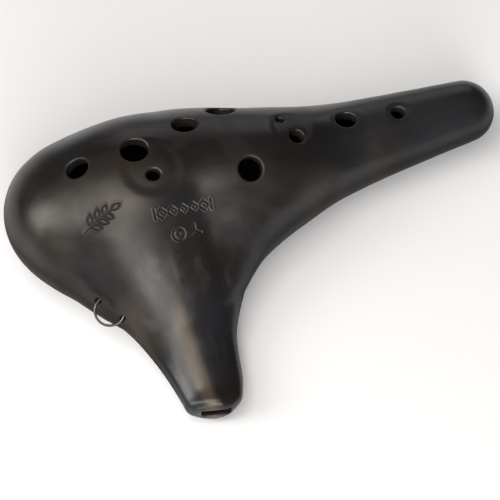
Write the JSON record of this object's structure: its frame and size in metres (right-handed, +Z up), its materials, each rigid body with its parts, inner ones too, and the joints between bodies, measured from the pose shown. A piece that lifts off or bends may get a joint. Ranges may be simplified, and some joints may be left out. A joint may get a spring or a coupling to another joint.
{
  "type": "ocarina",
  "caption": "Sweet-potato ocarina in black burnished clay: two luted shells, spout mouthpiece with windway and labium, finger and thumb holes, steel strap ring.",
  "frame": {"origin": "middle of the small flat on the belly that the ocarina rests on, on the table plane", "axes": "+X from the lobe to the tail, -Y from the body to the mouthpiece, +Z up out of the finger holes"},
  "size_m": [0.1891, 0.1162, 0.0533],
  "materials": {
    "black_clay": "burnished",
    "inner_clay": "matte",
    "dark_steel": "satin"
  },
  "bodies": {
    "ocarina": {"upper_shell": "black_clay", "lower_shell": "black_clay", "mouthpiece_top": "black_clay", "mouthpiece_base": "black_clay", "windway_roof": "inner_clay", "labium_blade": "inner_clay"},
    "strap_ring": {"strap_ring": "dark_steel"}
  },
  "joints": [
    {"name": "strap_ring_turn", "type": "hinge", "parent": "ocarina", "child": "strap_ring", "pos_m": [-0.049, -0.0364, 0.0244], "axis": [-0.107, -0.4772, 0.8723], "continuous": true}
  ]
}
